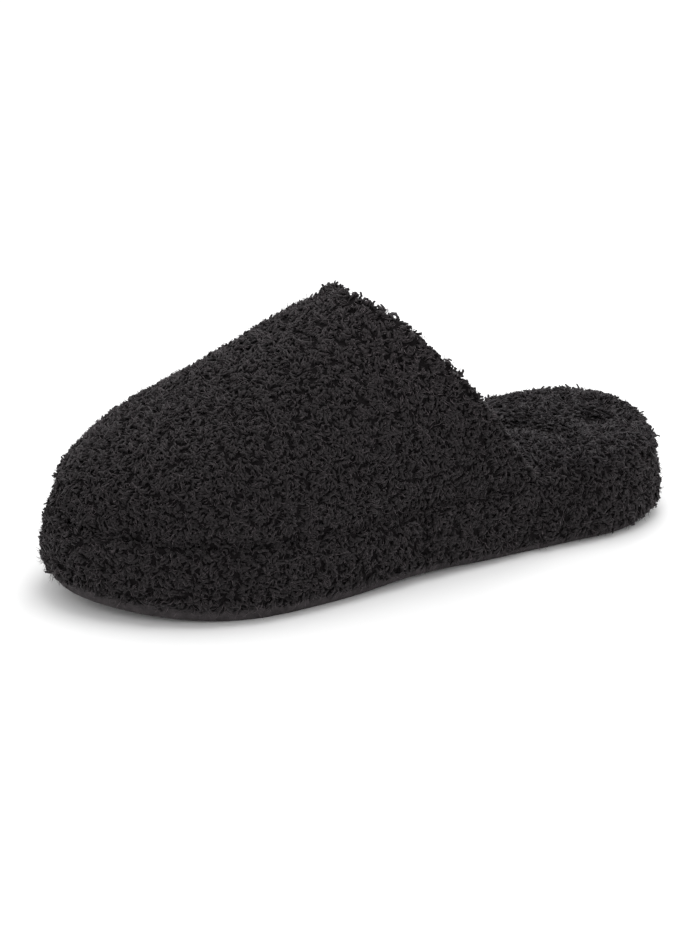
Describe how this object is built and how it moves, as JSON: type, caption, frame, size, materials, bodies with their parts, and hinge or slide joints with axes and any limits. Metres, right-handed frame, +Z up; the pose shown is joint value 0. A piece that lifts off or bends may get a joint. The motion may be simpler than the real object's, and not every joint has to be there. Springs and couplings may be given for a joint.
{
  "type": "clog slipper",
  "caption": "Backless fleece clog slipper for the left foot: hollow vamp with a slanted collar on a fleece-wrapped platform with a thin smooth outsole.",
  "frame": {"origin": "on the floor, under the middle of the slipper's box", "axes": "+X to the toe, +Y to the wearer's left (the outer side), +Z up"},
  "size_m": [0.268, 0.1052, 0.1111],
  "materials": {
    "outsole": "smooth matt dark grey",
    "band_fleece": "black curly fleece",
    "footbed_fleece": "black curly fleece",
    "upper_fleece": "black curly fleece"
  },
  "bodies": {
    "root": {"outsole": "outsole", "wrapped_midsole": "band_fleece", "insole": "footbed_fleece", "upper": "upper_fleece"}
  },
  "joints": []
}
